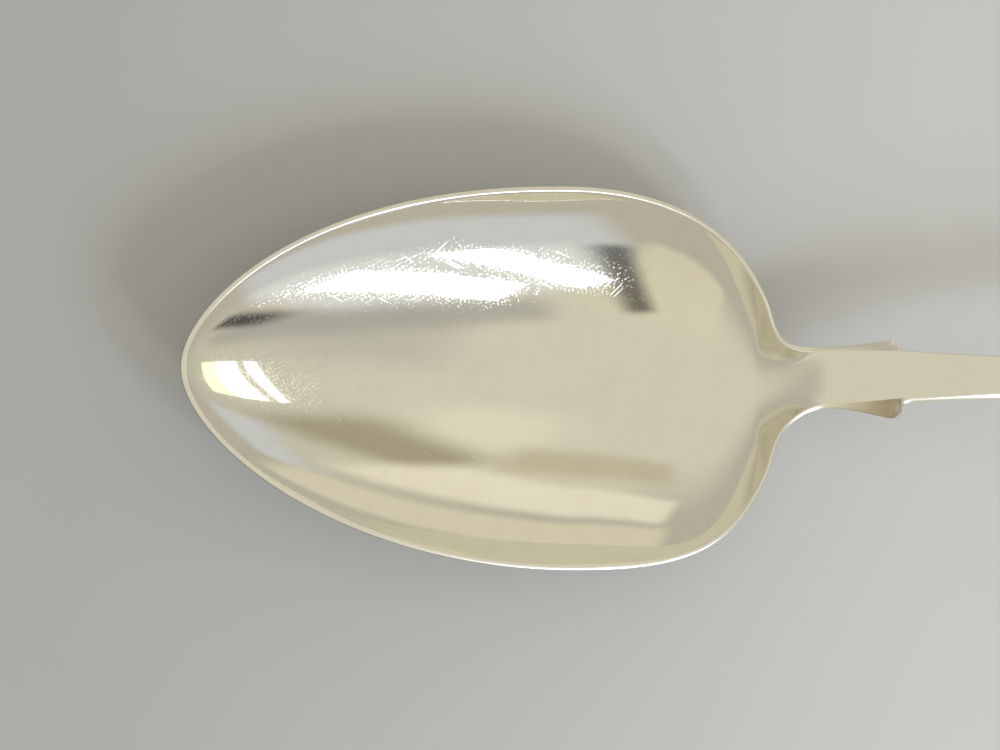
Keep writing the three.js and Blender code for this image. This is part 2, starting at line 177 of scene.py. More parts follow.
class StemSizes(bpy.types.PropertyGroup):
    """Sizes of the stem, its shoulders and its fiddle end"""

    neck: length("Neck", "From the bowl's tip to the neck", BOWL_HIGH.x - TIP_X)
    neck_width: length("Neck width", "Across the neck", 0.0077)
    neck_height: length("Neck height", "The neck's face above the floor", 0.0114)
    neck_slope: angle("Neck slope", "How steeply the stem leaves the bowl", 25)
    end: length("End", "From the bowl's tip to the end of the handle", STEM_HIGH.x - TIP_X)
    peak: length("Peak", "From the bowl's tip to the handle's highest place", 0.140)
    peak_height: length("Peak height", "The handle's highest place above the floor", 0.021)
    rise_run: length("Rise run", "How far the stem keeps the neck's slope", 0.008)
    peak_run: length("Peak run", "How far the handle stays level beside its peak", 0.028)
    turn_down: angle("Turn down", "How steeply the end is turned down", 26)
    turn_run: length("Turn run", "How far the end keeps its slope", 0.026)
    waist: length("Waist", "From the bowl's tip to the waist behind the shoulders", 0.0892)
    waist_width: length("Waist width", "Across the stem at its waist", 0.00646)
    waist_taper: angle("Waist taper", "How the stem narrows at its waist", 4)
    waist_run: length("Waist run", "How far the stem keeps that taper", 0.005)
    narrowest: length("Narrowest place", "From the bowl's tip to the narrowest place", 0.116)
    narrowest_width: length("Narrowest width", "Across the narrowest place", 0.0049)
    narrowest_run: length("Narrowest run", "How far the stem stays level before it", 0.012)
    thickness_neck: length("Thickness at the neck", "Face to back at the neck", 0.0038)
    thickness_narrow: length("Thickness at the narrowest", "Face to back at the narrowest place", 0.0031)
    thickness_root: length("Thickness at the root", "Face to back where the fiddle end starts", 0.0021)
    thickness_end: length("Thickness at the end", "Face to back at the end", 0.0018)
    neck_bevel: length("Neck bevel", "Fall of the bevel at the neck", 0.00035)
    neck_bevel_width: length("Neck bevel width", "Width of the bevel at the neck", 0.0007)
    waist_bevel_width: length("Waist bevel width", "Width of the bevel at the waist", 0.00045)
    bevel_width: length("Bevel width", "Width of the bevel along the stem", 0.0008)
    bevel: length("Bevel fall", "Fall of the bevel along the stem", 0.00042)
    bevel_end: length("Bevel fall at the end", "Fall of the bevel round the fiddle end", 0.00042)
    neck_crown: length("Neck crown", "How far the face is domed at the neck", 0.00003)
    crown: length("Crown", "How far the face is domed", 0.00012)
    face_off_line: length("Face off line", "How far the face lies beside the stem's middle line", 0.00032)
    back_edge: length("Back edge", "Depth of the side where the back starts", 0.0018)
    back_edge_end: length("Back edge at the end", "The same, at the end of the handle", 0.00105)
    back_squareness: number("Back squareness", "1 makes the back an ellipse and less makes it squarer", 0.7)
    shoulder_width: length("Shoulder width", "Across the two shoulders", 0.00966)
    shoulder: length("Shoulder", "From the bowl's tip to the shoulders' end", 0.088)
    shoulder_neck_run: length("Shoulder neck run", "How far the neck stays level into its shoulders", 0.0024)
    shoulder_run: length("Shoulder run", "How far the shoulders keep their last flare", 0.0016)
    shoulder_angle: angle("Shoulder angle", "How the shoulders flare at their end", 8)
    shoulder_off_line: length("Shoulder off line", "How far they lie beside the middle line", 0.00024)
    shoulder_corner: length("Shoulder corner", "Rounding of the shoulders' corners", 0.00075)
    shoulder_fall: length("Shoulder fall", "How far the shoulders fall away from the face", 0.0011)
    fiddle: length("Fiddle length", "Length of the fiddle end", 0.058)
    fiddle_width: length("Fiddle width", "Across the fiddle end", STEM_HIGH.y - STEM_LOW.y)
    fiddle_widest: length("Fiddle widest", "From the end to its widest place", 0.017)
    fiddle_roundness: number("Fiddle roundness", "How round the end is", 0.6)
    fiddle_flare_run: length("Fiddle flare run", "How the fiddle end widens", 0.012)
    root_width: length("Root width", "Across the stem where the fiddle end starts", 0.0094)
    root_run: length("Root run", "How far the stem keeps its flare at the root", 0.014)
    root_angle: angle("Root angle", "How the stem flares at the root", 4)
    fiddle_shoulder_width: length("Fiddle shoulder width", "Across the fiddle end's shoulders", 0.015)
    fiddle_corner: length("Fiddle corner", "Rounding of the fiddle end's shoulders", 0.0024)
    corner: length("Worn corner", "Radius that wear leaves on an edge", 0.00014)
    burr: length("Burr", "Height of the burr at the end of one shoulder", 0.0008)


class DropSizes(bpy.types.PropertyGroup):
    """Sizes of the drop, the tongue under the heel"""

    start: length("Start", "From the bowl's tip to the tongue's round end", DROP_LOW.x - TIP_X)
    width: length("Width", "Across the tongue", 0.0065)
    round_length: length("Round length", "Length of its round end", 0.006)
    rise: length("Rise", "How far it stands proud of the bowl's back", 0.00095)
    edge: length("Edge", "Thickness of its edge", 0.0003)
    lap: length("Lap", "From the bowl's tip to the end of the lap under the stem", 0.087)
    lap_depth: length("Lap depth", "Depth of the lap under the neck's face", 0.002)


class SilverLook(bpy.types.PropertyGroup):
    """Colours and wear of the silver"""

    bowl: colour("Bowl", "Polished silver of the bowl", (0.90, 0.875, 0.79))
    stem: colour("Stem", "Polished silver of the stem", (0.905, 0.88, 0.795))
    back: colour("Back", "Duller silver of the back", (0.84, 0.81, 0.73))
    # This colour is both the thin tarnish and the painted dark reflection on the nose's outer wall and on the
    # lower shoulder's bevel
    tarnish_and_dark_reflection: colour("Tarnish", "Thin tarnish in the corners", (0.42, 0.35, 0.24))
    polish: number("Polish", "Roughness of the polished silver", 0.012)
    haze: number("Haze", "Roughness of the finely scratched silver", 0.13)
    edges: number("Edges", "Roughness of the worn edges", 0.24)


class StudioLook(bpy.types.PropertyGroup):
    """Floor, lights and camera"""

    # The floor's two colours are painted light and shade: lighter on the handle's side, darker beyond the tip
    floor: colour("Floor", "Colour of the floor on the handle's side", (0.70, 0.705, 0.72))
    floor_painted_shade: colour("Floor, far side", "Colour of the floor beyond the tip", (0.52, 0.525, 0.535))
    overhead: colour("Overhead", "Light from overhead", (0.68, 0.655, 0.55))
    sides: colour("Sides", "Light from the sides", (0.50, 0.47, 0.40))
    lens: bpy.props.FloatProperty(name="Lens", description="Focal length", default=102.2, unit="CAMERA")


# Curves

def point(x, y):
    return np.array([x, y], dtype=float)


def away(start, distance, turn):
    """A point that lies a distance from another one, in a direction"""
    return start + distance * point(math.cos(turn), math.sin(turn))


def smooth(share):
    """Eases a share from 0 to 1, level at both ends"""
    return share * share * (3 - 2 * share)


class Chain:
    """A chain of Bezier curves that runs from the bowl towards the handle"""

    SAMPLES = 600
    LEAST_STEPS = 4

    def __init__(self, *curves):
        self.curves = [self.sampled(*corners) for corners in curves]
        joined = np.vstack(self.curves)
        self.x = np.maximum.accumulate(joined[:, 0])
        self.y = joined[:, 1]

    def sampled(self, a, b, c, d):
        t = np.linspace(0.0, 1.0, self.SAMPLES)[:, None]
        return (1 - t) ** 3 * a + 3 * t * (1 - t) ** 2 * b + 3 * t * t * (1 - t) * c + t**3 * d

    def at(self, x):
        return np.interp(x, self.x, self.y)

    def stations(self, spacing):
        """Places spaced evenly along every curve, with the way that each faces inward"""
        found = []
        for number_of, curve in enumerate(self.curves):
            steps = np.diff(curve, axis=0)
            reach = np.concatenate([[0.0], np.cumsum(np.hypot(steps[:, 0], steps[:, 1]))])
            count = max(int(round(reach[-1] / spacing)), self.LEAST_STEPS)
            tangent = np.gradient(curve, axis=0)
            tangent /= np.hypot(tangent[:, 0], tangent[:, 1])[:, None]
            for step in range(0 if number_of == 0 else 1, count + 1):
                place = reach[-1] * step / count
                x, y = (np.interp(place, reach, curve[:, axis]) for axis in (0, 1))
                tx, ty = (np.interp(place, reach, tangent[:, axis]) for axis in (0, 1))
                found.append((float(x), float(y), np.array([ty, -tx])))
        return found


def level(start, run_start, run_end, end):
    """A curve that leaves one point and reaches another level with the spoon"""
    return start, away(start, run_start, 0.0), away(end, -run_end, 0.0), end


def round_in(start, end, roundness):
    """A curve that leaves level with the spoon and ends square to it"""
    reach, rise = abs(end[0] - start[0]) * roundness, (end[1] - start[1]) * roundness
    return start, start + point(reach, 0.0), end - point(0.0, rise), end


def round_out(start, end, roundness):
    """A curve that leaves square to the spoon and ends level with it"""
    reach, rise = abs(end[0] - start[0]) * roundness, (end[1] - start[1]) * roundness
    return start, start + point(0.0, rise), end - point(reach, 0.0), end


def eased(stops, x):
    """A size that eases from one stop to the next; a stop is a place and a size"""
    places = [place for place, _ in stops]
    sizes = [size for _, size in stops]
    if x <= places[0]:
        return sizes[0]
    for index in range(1, len(stops)):
        if x < places[index]:
            share = smooth((x - places[index - 1]) / (places[index] - places[index - 1]))
            return sizes[index - 1] + (sizes[index] - sizes[index - 1]) * share
    return sizes[-1]


def bend(a, corner, b):
    """Points of a rounded corner from a to b"""
    points = []
    for step in range(CORNER_STEPS):
        t = step / (CORNER_STEPS - 1)
        from_a, from_corner, from_b = (1 - t) ** 2, 2 * t * (1 - t), t * t
        points.append(tuple(from_a * p + from_corner * q + from_b * r for p, q, r in zip(a, corner, b)))
    return points


def half_oval(steps, squareness):
    """A half oval from one side to the other, as (share of the half width, share of the depth)"""
    points = []
    for step in range(steps + 1):
        turn = math.pi * step / steps
        side = abs(math.cos(turn)) ** squareness * (1 if math.cos(turn) > 0 else -1)
        depth = math.sin(turn) ** squareness if 0 < step < steps else 0.0
        points.append((side, depth))
    return points


# Forms that the pieces share

class SpoonForm:
    """The curves of the whole spoon, worked out from the sizes"""

    RIM_TIP_SLOPE = math.radians(-2)
    INNER_SPACING = 0.0002
    END_REST_WEAR = 0.0003
    # Where the break in a bevel lies, as a share of its fall
    BEVEL_BREAK = 0.35

    def __init__(self, scene):
        self.bowl = scene.spoon_bowl
        self.stem = scene.spoon_stem
        self.drop = scene.spoon_drop
        self.neck = point(self.stem.neck, self.stem.neck_width / 2)
        self.plan_bowl()
        self.raise_bowl()
        self.plan_stem()
        self.raise_stem()
        self.ease_stem()

    def plan_bowl(self):
        """The bowl's outline in plan, and how far its middle lies beside the middle line"""
        bowl, neck = self.bowl, self.neck
        half = bowl.width / 2
        heel = point(bowl.heel, bowl.heel_half)
        widest = point(bowl.widest, half)
        inward = -bowl.heel_angle
        self.bowl_outline = Chain(
            (point(0, 0), point(0, bowl.nose_fullness), point(bowl.widest - bowl.nose_run, half), widest),
            (widest, away(widest, bowl.cheek_run, 0.0), away(heel, -bowl.heel_run, inward), heel),
            (heel, away(heel, bowl.fillet_run, inward), away(neck, -bowl.neck_fillet_run, 0.0), neck),
        )
        self.middle_stops = [
            (0.0, bowl.nose_worn_over),
            (bowl.widest, -bowl.off_line),
            (bowl.heel, -bowl.heel_off_line),
            (self.stem.neck, 0.0),
        ]

    def raise_bowl(self):
        """The rim and the two keels seen from the side, and the outline inside the rim's land"""
        bowl, stem = self.bowl, self.stem
        bottom = bowl.wall - bowl.rest_wear
        rim_height = bottom + bowl.depth
        tip = point(0, rim_height + bowl.tip_above_rim)
        high = point(bowl.widest, rim_height)
        neck = point(stem.neck, stem.neck_height)
        before_neck = away(neck, -bowl.rim_neck_run, stem.neck_slope)
        self.rim = Chain(
            (tip, away(tip, bowl.rim_run, self.RIM_TIP_SLOPE), away(high, -bowl.rim_run, 0.0), high),
            (high, away(high, bowl.rim_run, 0.0), before_neck, neck),
        )
        self.keel_in = self.keel(bowl.land, float(self.rim.at(bowl.land)), bottom, stem.neck_height)
        under_neck = stem.neck_height - self.drop.lap_depth
        self.keel_out = self.keel(0.0, tip[1] - bowl.edge, bottom - bowl.wall, under_neck)
        inner = []
        for x, y, inward in self.bowl_outline.stations(self.INNER_SPACING):
            inner.append((x + bowl.land * inward[0], max(y + bowl.land * inward[1], 0.0)))
        self.inner_x = np.maximum.accumulate([x for x, _ in inner])
        self.inner_half = np.array([y for _, y in inner])

    def keel(self, start, height, bottom, neck_height):
        bowl, stem = self.bowl, self.stem
        tip = point(start, height)
        low = point(bowl.deepest, bottom)
        neck = point(stem.neck, neck_height)
        before_neck = away(neck, -bowl.keel_neck_run, stem.neck_slope)
        return Chain(
            (tip, away(tip, bowl.keel_tip_run, -bowl.tip_slope), away(low, -bowl.keel_nose_run, 0.0), low),
            (low, away(low, bowl.keel_heel_run, 0.0), before_neck, neck),
        )

    def plan_stem(self):
        """Outlines of the stem in plan: its body, and the same with the shoulders"""
        stem, neck = self.stem, self.neck
        waist = point(stem.waist, stem.waist_width / 2)
        narrow = point(stem.narrowest, stem.narrowest_width / 2)
        root = point(stem.end - stem.fiddle, stem.root_width / 2)
        shoulder_half = stem.fiddle_shoulder_width / 2
        corner = point(root[0] + stem.fiddle_corner, shoulder_half - stem.fiddle_corner / 2)
        side = point(corner[0] + stem.fiddle_corner, shoulder_half)
        wide = point(stem.end - stem.fiddle_widest, stem.fiddle_width / 2)
        roundness = stem.fiddle_roundness
        taper = -stem.waist_taper
        to_root = root[0] - stem.narrowest
        third = (waist[0] - neck[0]) / 3
        handle = [
            (waist, away(waist, stem.waist_run, taper), away(narrow, -stem.narrowest_run, 0.0), narrow),
            (narrow, away(narrow, to_root / 2, 0.0), away(root, -stem.root_run, stem.root_angle), root),
            round_in(root, corner, roundness),
            round_out(corner, side, roundness),
            level(side, stem.fiddle_flare_run, stem.fiddle_flare_run, wide),
            round_in(wide, point(stem.end, 0.0), roundness),
        ]
        self.neck_body = (neck, away(neck, third, 0.0), away(waist, -third, taper), waist)
        self.body = Chain(self.neck_body, *handle)
        flare = point(stem.shoulder - stem.shoulder_corner, stem.shoulder_width / 2)
        square = point(stem.shoulder, stem.shoulder_width / 2 - stem.shoulder_corner)
        before_flare = away(flare, -stem.shoulder_run, stem.shoulder_angle)
        self.stem_outline = Chain(
            (neck, away(neck, stem.shoulder_neck_run, 0.0), before_flare, flare),
            round_in(flare, square, roundness),
            round_out(square, waist, roundness),
            *handle,
        )

    def raise_stem(self):
        """The line of the stem's face seen from the side"""
        stem = self.stem
        start = point(stem.neck, stem.neck_height)
        peak = point(stem.peak, stem.peak_height)
        end = point(stem.end, stem.thickness_end - self.END_REST_WEAR)
        self.face = Chain(
            (start, away(start, stem.rise_run, stem.neck_slope), away(peak, -stem.peak_run, 0.0), peak),
            (peak, away(peak, stem.peak_run, 0.0), away(end, -stem.turn_run, -stem.turn_down), end),
        )

    def ease_stem(self):
        """Sizes of the stem's cross section that change along it"""
        stem, drop = self.stem, self.drop
        root = stem.end - stem.fiddle
        self.full_flare = stem.shoulder_width / 2 - stem.waist_width / 2
        self.crown_stops = [(stem.neck, stem.neck_crown), (stem.waist, stem.crown)]
        self.line_stops = [(stem.neck, 0.0), (stem.waist, stem.face_off_line), (root, 0.0)]
        self.thickness_stops = [
            (stem.neck, stem.thickness_neck),
            (stem.narrowest, stem.thickness_narrow),
            (root, stem.thickness_root),
            (stem.end, stem.thickness_end),
        ]
        self.bevel_width_stops = [
            (stem.neck, stem.neck_bevel_width),
            (stem.waist, stem.waist_bevel_width),
            (stem.narrowest, stem.bevel_width),
        ]
        self.bevel_stops = [
            (stem.neck, stem.neck_bevel),
            (stem.waist, stem.bevel),
            (stem.narrowest, stem.bevel),
            (root, stem.bevel_end),
        ]
        self.back_edge_stops = [
            (stem.neck, drop.lap_depth),
            (drop.lap, drop.lap_depth),
            (stem.narrowest, stem.back_edge),
            (stem.end, stem.back_edge_end),
        ]

    def hollow(self, x, across):
        """Share of the height between keel and rim, 0 on the middle line and 1 at the rim"""
        share = eased([(self.bowl.widest, self.bowl.fullness), (self.bowl.heel, self.bowl.heel_fullness)], x)
        return share * across**2 + (1 - share) * across**4

    def middle(self, x):
        return eased(self.middle_stops, x)

    def rim_edge(self, x):
        return eased([(self.bowl.heel, self.bowl.edge), (self.stem.neck, self.drop.lap_depth)], x)

    def between(self, keel, rim, half, x, side):
        """Height between a keel and its rim at a place in plan"""
        across = (side - self.middle(x)) / max(float(half), TINY)
        return keel + (rim - keel) * self.hollow(x, across)

    def inside(self, x, side):
        """Height of the hollow at a place in plan"""
        half = np.interp(x, self.inner_x, self.inner_half)
        return self.between(self.keel_in.at(x), self.rim.at(x), half, x, side)

    def outside(self, x, side):
        """Height of the bowl's back at a place in plan"""
        rim = self.rim.at(x) - self.rim_edge(x)
        return self.between(self.keel_out.at(x), rim, self.bowl_outline.at(x), x, side)

    def worn_corner(self, width):
        """Radius of the worn corners beside a face of the given width"""
        return min(self.stem.corner, width / 3)

    def edge_points(self, width, fall, side, middle, inner_fall, outer_fall):
        """A rounded edge, from the face out and down, as (inset from the outline, depth below the face)"""
        worn = self.worn_corner(width)
        slope = fall * middle / (width / 2)
        lower = fall * (1 - middle) / (width / 2)
        return [
            *bend((width + worn, inner_fall), (width, 0.0), (width - worn, slope * worn)),
            (width / 2, fall * middle),
            *bend((worn, fall - lower * worn), (0.0, fall), (0.0, fall + worn)),
            *bend((0.0, side - worn), (0.0, side), (worn, side + outer_fall)),
        ]


# Meshes

def loft(name, loops, cap):
    """A mesh through loops with the same number of points, capped at its start or its end

    A point is its place counted from the tip, and then how worn its edge is and how much painted dark
    reflection it carries, where it has either.
    """
    size = len(loops[0])
    mesh = bmesh.new()
    for layer in WEAR_AND_REFLECTION_LAYERS:
        mesh.verts.layers.float.new(layer)
    wear_and_reflection_layers = [mesh.verts.layers.float[layer] for layer in WEAR_AND_REFLECTION_LAYERS]
    rows = []
    for loop in loops:
        row = []
        for x, y, z, *wear in loop:
            row.append(mesh.verts.new((x + TIP_X, y, z)))
            for layer, share in zip(wear_and_reflection_layers, wear):
                row[-1][layer] = share
        rows.append(row)
    for row, after in zip(rows, rows[1:]):
        for index in range(size):
            following = (index + 1) % size
            mesh.faces.new((row[index], row[following], after[following], after[index]))
    mesh.faces.new(rows[0][::-1] if cap == "start" else rows[-1])
    bmesh.ops.remove_doubles(mesh, verts=mesh.verts, dist=WELD)
    bmesh.ops.dissolve_degenerate(mesh, dist=TINY, edges=mesh.edges)
    bmesh.ops.recalc_face_normals(mesh, faces=mesh.faces)
    data = bpy.data.meshes.new(name)
    mesh.to_mesh(data)
    mesh.free()
    data.shade_smooth()
    data.set_sharp_from_angle(angle=SHARP_ANGLE)
    piece = bpy.data.objects.new(name, data)
    bpy.context.scene.collection.objects.link(piece)
    return piece


def hand_made(x, y):
    """Slow unevenness that planishing leaves in a surface"""
    height = 0
    for along, across, phase, share in PLANISH_WAVES:
        height += share * math.sin(along * x + across * y + phase)
    return PLANISH_HEIGHT * height


# Nodes

def nodes_of(material):
    material.use_nodes = True
    tree = material.node_tree
    tree.nodes.clear()
    return tree


def add(tree, kind, **settings):
    node = tree.nodes.new(kind)
    for name, value in settings.items():
        setattr(node, name, value)
    return node


def principled(tree):
    """A Principled shader, joined to the material's output"""
    shader = add(tree, "ShaderNodeBsdfPrincipled")
    output = add(tree, "ShaderNodeOutputMaterial")
    tree.links.new(shader.outputs["BSDF"], output.inputs["Surface"])
    return shader


def math_node(tree, operation, first, second, clamp=False):
    node = add(tree, "ShaderNodeMath", operation=operation, use_clamp=clamp)
    for socket, value in zip(node.inputs, (first, second)):
        if isinstance(value, (int, float)):
            socket.default_value = value
        else:
            tree.links.new(value, socket)
    return node.outputs[0]


def times(tree, first, second):
    return math_node(tree, "MULTIPLY", first, second)


def plus(tree, first, second, clamp=False):
    return math_node(tree, "ADD", first, second, clamp)


def rest_of(tree, value):
    """What a value leaves of 1, and never less than 0"""
    return math_node(tree, "SUBTRACT", 1.0, value, clamp=True)


def attribute(tree, name):
    return add(tree, "ShaderNodeAttribute", attribute_name=name)


def place_on(tree):
    return add(tree, "ShaderNodeTexCoord").outputs["Object"]


def x_of(tree, place):
    split = add(tree, "ShaderNodeSeparateXYZ")
    tree.links.new(place, split.inputs["Vector"])
    return split.outputs["X"]


def parts_of(tree, tint):
    """The three parts of a colour, here each cell's own random numbers"""
    split = add(tree, "ShaderNodeSeparateColor")
    tree.links.new(tint, split.inputs["Color"])
    return split.outputs


def turned(tree, turn, sizes):
    """Places on the piece in cells of the given sizes, turned about Z"""
    place = place_on(tree)
    cells = add(tree, "ShaderNodeCombineXYZ")
    axes = ((math.cos(turn), math.sin(turn)), (-math.sin(turn), math.cos(turn)))
    for socket, (x, y), size in zip(cells.inputs, axes, sizes):
        along = add(tree, "ShaderNodeVectorMath", operation="DOT_PRODUCT")
        tree.links.new(place, along.inputs[0])
        along.inputs[1].default_value = (x / size, y / size, 0.0)
        tree.links.new(along.outputs["Value"], socket)
    return cells.outputs["Vector"]


def noise(tree, place, scale, detail, roughness=0.5):
    node = add(tree, "ShaderNodeTexNoise")
    node.inputs["Scale"].default_value = scale
    node.inputs["Detail"].default_value = detail
    node.inputs["Roughness"].default_value = roughness
    tree.links.new(place, node.inputs["Vector"])
    return node.outputs["Fac"]


def above(tree, value, start, end):
    """0 up to the start, 1 from the end on, and even between"""
    node = add(tree, "ShaderNodeMapRange")
    node.inputs["From Min"].default_value = start
    node.inputs["From Max"].default_value = end
    tree.links.new(value, node.inputs["Value"])
    return node.outputs["Result"]


def mixed(tree, share, first, second):
    """A colour between two others"""
    mix = add(tree, "ShaderNodeMix", data_type="RGBA")
    mix.inputs[MIX_FIRST].default_value = (*first, 1.0)
    mix.inputs[MIX_SECOND].default_value = (*second, 1.0)
    tree.links.new(share, mix.inputs[MIX_SHARE])
    return mix.outputs[MIX_RESULT]


def bumped(tree, shader, height, strength, distance):
    bump = add(tree, "ShaderNodeBump")
    bump.inputs["Strength"].default_value = strength
    bump.inputs["Distance"].default_value = distance
    tree.links.new(height, bump.inputs["Height"])
    tree.links.new(bump.outputs["Normal"], shader.inputs["Normal"])


# Silver

def strokes(tree, turn, length_of, width_of, share):
    """Straight scratches that all run one way: each is a long thin oval in a cell of its own"""
    cells = add(tree, "ShaderNodeTexVoronoi", voronoi_dimensions="2D")
    cells.inputs["Scale"].default_value = 1.0
    sizes = (STROKE_ROOM * length_of, STROKE_ROOM * width_of)
    tree.links.new(turned(tree, turn, sizes), cells.inputs["Vector"])
    line = rest_of(tree, times(tree, cells.outputs["Distance"], 2 * STROKE_ROOM))
    pick = parts_of(tree, cells.outputs["Color"])
    chosen = math_node(tree, "LESS_THAN", pick["Red"], share)
    return times(tree, times(tree, line, chosen), pick["Green"])


def crossed(tree, turns, sizes):
    """Scratches that run two ways; where two cross, the stronger one shows"""
    first, second = (strokes(tree, turn, *sizes) for turn in turns)
    return math_node(tree, "MAXIMUM", first, second)


def pitted(tree, place):
    """Small round pits in a few of the cells, 1 at the middle of each"""
    cells = add(tree, "ShaderNodeTexVoronoi")
    cells.inputs["Scale"].default_value = PIT_SCALE
    tree.links.new(place, cells.inputs["Vector"])
    chosen = above(tree, parts_of(tree, cells.outputs["Color"])["Blue"], PIT_CHOSEN, 1.0)
    size = plus(tree, times(tree, chosen, PIT_SIZE), PIT_LEAST)
    return rest_of(tree, math_node(tree, "DIVIDE", cells.outputs["Distance"], size))


def handled(tree, place):
    """Where the silver was used most: at the tip, and in slow patches elsewhere"""
    near_tip = rest_of(tree, above(tree, x_of(tree, place), WORN_FROM, WORN_TO))
    patches = above(tree, noise(tree, place, PATCH_SCALE, 3.0), *PATCH_RANGE)
    return plus(tree, times(tree, near_tip, TIP_WEAR), patches, clamp=True)


def painted_reflection_and_tarnish(tree, place, pits):
    """How far the silver is darkened: faint clouds of tarnish, more in the pits, and the painted dark
    reflection that the mesh carries
    """
    clouds = above(tree, noise(tree, place, CLOUD_SCALE, 4.0, 0.6), *CLOUD_RANGE)
    darkening = plus(tree, times(tree, clouds, CLOUD_TARNISH), times(tree, pits, PIT_TARNISH))
    return plus(tree, darkening, attribute(tree, "painted_dark_reflection").outputs["Fac"], clamp=True)


def silver(name, base, look, wear):
    """Old polished silver: scratches, a slow change of polish, pits, thin tarnish and painted dark
    reflections
    """
    material = bpy.data.materials.new(name)
    tree = nodes_of(material)
    shader = principled(tree)
    shader.inputs["Metallic"].default_value = 1.0
    place = place_on(tree)
    used = handled(tree, place)
    pits = pitted(tree, place)
    fine = times(tree, crossed(tree, FINE_TURNS, FINE_SCRATCH), used)
    scratched = plus(tree, fine, crossed(tree, LONG_TURNS, LONG_SCRATCH), clamp=True)

    grain = noise(tree, place, GRAIN_SCALE, 2.0)
    hazy = times(tree, used, times(tree, grain, GRAIN_HAZE * wear))
    rough = plus(tree, hazy, look.polish)
    rough = plus(tree, rough, times(tree, scratched, look.haze * wear), clamp=True)
    edges = times(tree, attribute(tree, "edge").outputs["Fac"], look.edges)
    tree.links.new(plus(tree, rough, edges, clamp=True), shader.inputs["Roughness"])

    # Real tarnish and the painted dark reflection together darken the base colour
    darkening = painted_reflection_and_tarnish(tree, place, pits)
    tree.links.new(mixed(tree, darkening, base, look.tarnish_and_dark_reflection), shader.inputs["Base Color"])
    height = plus(tree, times(tree, scratched, -1.0), times(tree, pits, -PIT_DEPTH))
    bumped(tree, shader, height, SCRATCH_STRENGTH, SCRATCH_DEPTH)
    return material


# Pieces

class SPOON_OT_bowl(bpy.types.Operator):
    """Builds the bowl: a thin shell with a flat land on its rim"""

    bl_idname = "spoon.bowl"
    bl_label = "Bowl"

    INSIDE = 150
    OUTSIDE = 110
    SPACING = 0.00045

    def execute(self, context):
        form = SpoonForm(context.scene)
        loops = [self.loop(form, *station) for station in form.bowl_outline.stations(self.SPACING)]
        piece = loft("bowl_silver_shell", loops, "end")
        look = context.scene.spoon_silver
        piece.data.materials.append(silver("bowl_silver", look.bowl, look, wear=1.0))
        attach(piece, BODY)
        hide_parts("bowl")
        return {"FINISHED"}

    def loop(self, form, x, half, inward):
        """Points round the bowl: across the hollow, over one rim, back under the shell, over the other"""
        bowl, stem = form.bowl, form.stem
        blend = eased([(bowl.heel, 0.0), (stem.neck, 1.0)], x)
        width = bowl.land + (stem.neck_bevel_width - bowl.land) * blend
        fall = bowl.bevel + (stem.neck_bevel - bowl.bevel) * blend
        worn = form.worn_corner(width)
        middle = form.middle(x)

        def place(inset):
            return x + inset * inward[0], max(half + inset * inward[1], 0.0)

        inner_x, inner_half = place(width + worn)
        outer_x, outer_half = place(worn)
        rim = float(form.rim.at(x))
        # Painted dark reflection: towards the nose the rim's outer wall takes the tarnish colour, fully up to
        # the nose run and none by the widest place
        tarnish_and_dark_reflection = eased([(bowl.nose_run, 1.0), (bowl.widest, 0.0)], x)
        profile = {}
        for sign in (1, -1):
            inner_fall = rim - float(form.inside(inner_x, middle + sign * inner_half))
            outer_fall = rim - form.rim_edge(x) - float(form.outside(outer_x, middle + sign * outer_half))
            points = form.edge_points(width, fall, form.rim_edge(x), form.BEVEL_BREAK, inner_fall, outer_fall)
            profile[sign] = []
            for inset, depth in points[1:-1]:
                px, py = place(inset)
                # Only the points below the land's outer edge, on the outer wall, take the painted dark
                # reflection
                painted_dark_reflection = tarnish_and_dark_reflection if depth > fall + worn / 2 else 0.0
                profile[sign].append((px, middle + sign * py, rim - depth, 1.0, painted_dark_reflection))
        inside = []
        for column in range(self.INSIDE + 1):
            side = middle + inner_half * (2 * column / self.INSIDE - 1)
            height = float(form.inside(inner_x, side)) + hand_made(inner_x, side)
            inside.append((inner_x, side, height))
        outside = []
        for column in range(self.OUTSIDE + 1):
            side = middle + outer_half * (1 - 2 * column / self.OUTSIDE)
            height = max(float(form.outside(outer_x, side)), 0.0)
            outside.append((outer_x, side, height))
        return [*inside, *profile[1], *outside, *profile[-1][::-1]]


